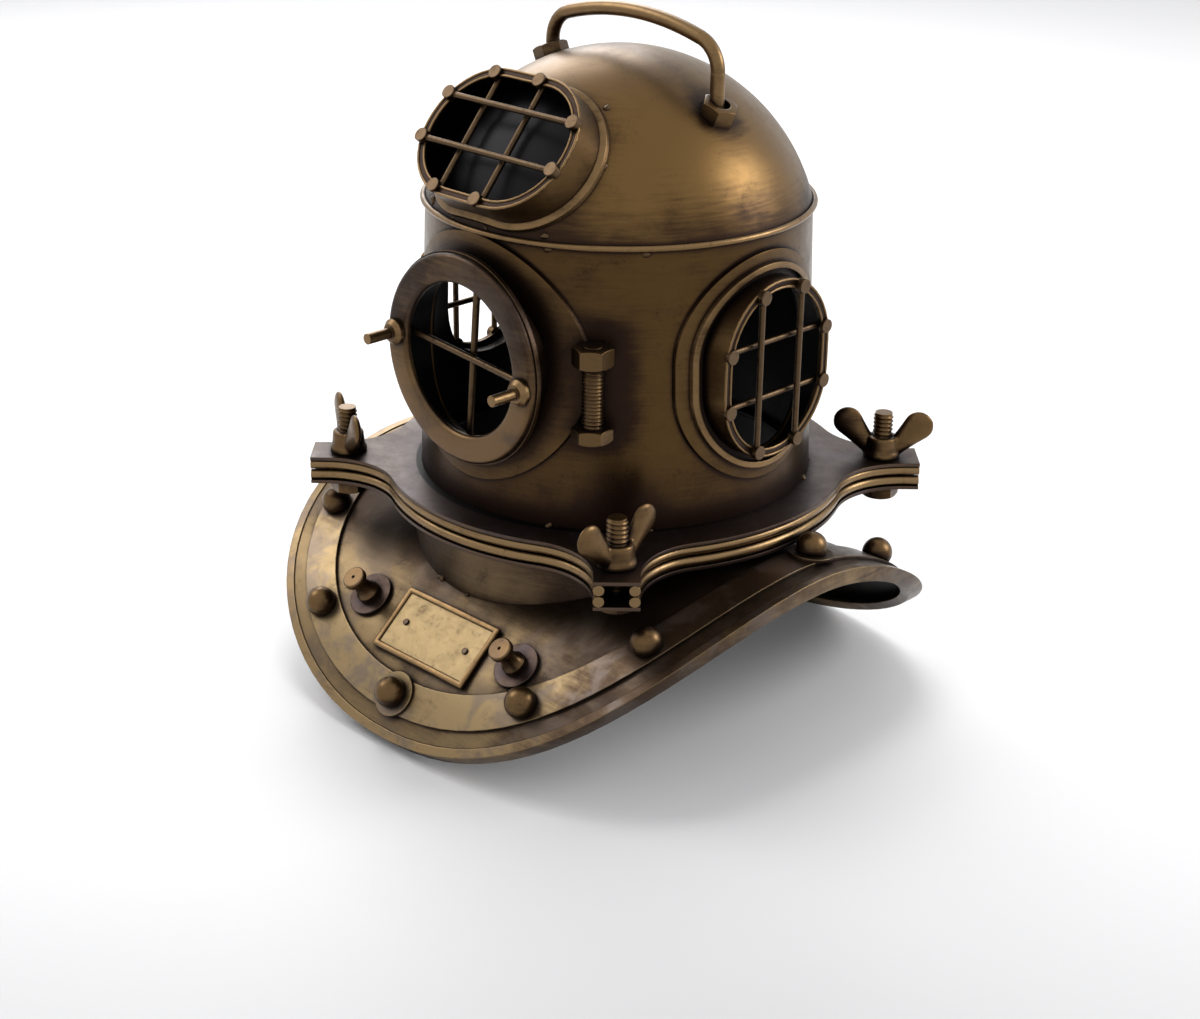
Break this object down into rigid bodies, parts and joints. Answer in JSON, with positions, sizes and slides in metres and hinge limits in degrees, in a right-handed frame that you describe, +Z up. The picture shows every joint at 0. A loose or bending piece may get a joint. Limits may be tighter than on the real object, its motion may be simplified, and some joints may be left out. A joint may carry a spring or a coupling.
{
  "type": "bubbling ornament",
  "caption": "Hollow diver's-helmet aquarium ornament in antique brass, open below to stand over a bubbler, with barred windows and a bonnet bolted to a saddle-shaped breastplate.",
  "frame": {"origin": "on the helmet's vertical axis, at the level of the floor that it stands on", "axes": "+Z up along the barrel's axis, -Y out of the front window, +X to the wearer's left, which is on the right in a front view"},
  "size_m": [0.1724, 0.166, 0.1974],
  "materials": {
    "antique_brass": "aged, patinated",
    "pale_brass": "worn, pale",
    "dark_bronze": "dark patina",
    "brass_wire": "aged, drawn"
  },
  "bodies": {
    "corselet": {"lower_flange": "dark_bronze", "lower_edge_rods": "brass_wire", "flange_bolts": "antique_brass", "neck": "dark_bronze", "breastplate": "antique_brass", "breastplate_rim": "pale_brass", "left_front_band": "pale_brass", "right_front_band": "pale_brass", "back_band": "pale_brass", "rivet_washers": "pale_brass", "band_rivets": "antique_brass", "peg_plates": "dark_bronze", "pegs": "brass_wire", "plaque": "pale_brass", "plaque_frame": "antique_brass", "plaque_pins": "dark_bronze"},
    "bonnet": {"barrel": "antique_brass", "dome": "antique_brass", "seam_bead": "brass_wire", "top_window_tube": "antique_brass", "top_window_wire": "brass_wire", "top_window_grille": "pale_brass", "front_saddle": "antique_brass", "front_tube": "antique_brass", "front_seat_ring": "brass_wire", "front_ring": "pale_brass", "front_studs": "brass_wire", "front_cross_bars": "brass_wire", "right_saddle": "antique_brass", "right_foot_wire": "brass_wire", "right_window_tube": "antique_brass", "right_window_grille": "pale_brass", "left_saddle": "antique_brass", "left_foot_wire": "brass_wire", "left_window_tube": "antique_brass", "left_window_grille": "pale_brass", "hinge_bolt": "antique_brass", "hinge_nut": "antique_brass", "handle": "brass_wire", "handle_nuts": "antique_brass", "upper_flange": "dark_bronze", "upper_edge_rods": "brass_wire"},
    "wing_nut_front_right": {"wing_nut_front_right": "antique_brass"},
    "wing_nut_front_left": {"wing_nut_front_left": "antique_brass"},
    "wing_nut_back_right": {"wing_nut_back_right": "antique_brass"},
    "wing_nut_back_left": {"wing_nut_back_left": "antique_brass"}
  },
  "joints": [
    {"name": "bonnet_lift", "type": "slide", "parent": "corselet", "child": "bonnet", "axis": [0, 0, 1], "range_m": [0, 0.03]},
    {"name": "wing_nut_front_right_turn", "type": "hinge", "parent": "bonnet", "child": "wing_nut_front_right", "pos_m": [0.05664, -0.05664, 0.063], "axis": [0, 0, 1], "continuous": true},
    {"name": "wing_nut_front_left_turn", "type": "hinge", "parent": "bonnet", "child": "wing_nut_front_left", "pos_m": [-0.05664, -0.05664, 0.063], "axis": [0, 0, 1], "continuous": true},
    {"name": "wing_nut_back_right_turn", "type": "hinge", "parent": "bonnet", "child": "wing_nut_back_right", "pos_m": [0.05664, 0.05664, 0.063], "axis": [0, 0, 1], "continuous": true},
    {"name": "wing_nut_back_left_turn", "type": "hinge", "parent": "bonnet", "child": "wing_nut_back_left", "pos_m": [-0.05664, 0.05664, 0.063], "axis": [0, 0, 1], "continuous": true}
  ]
}
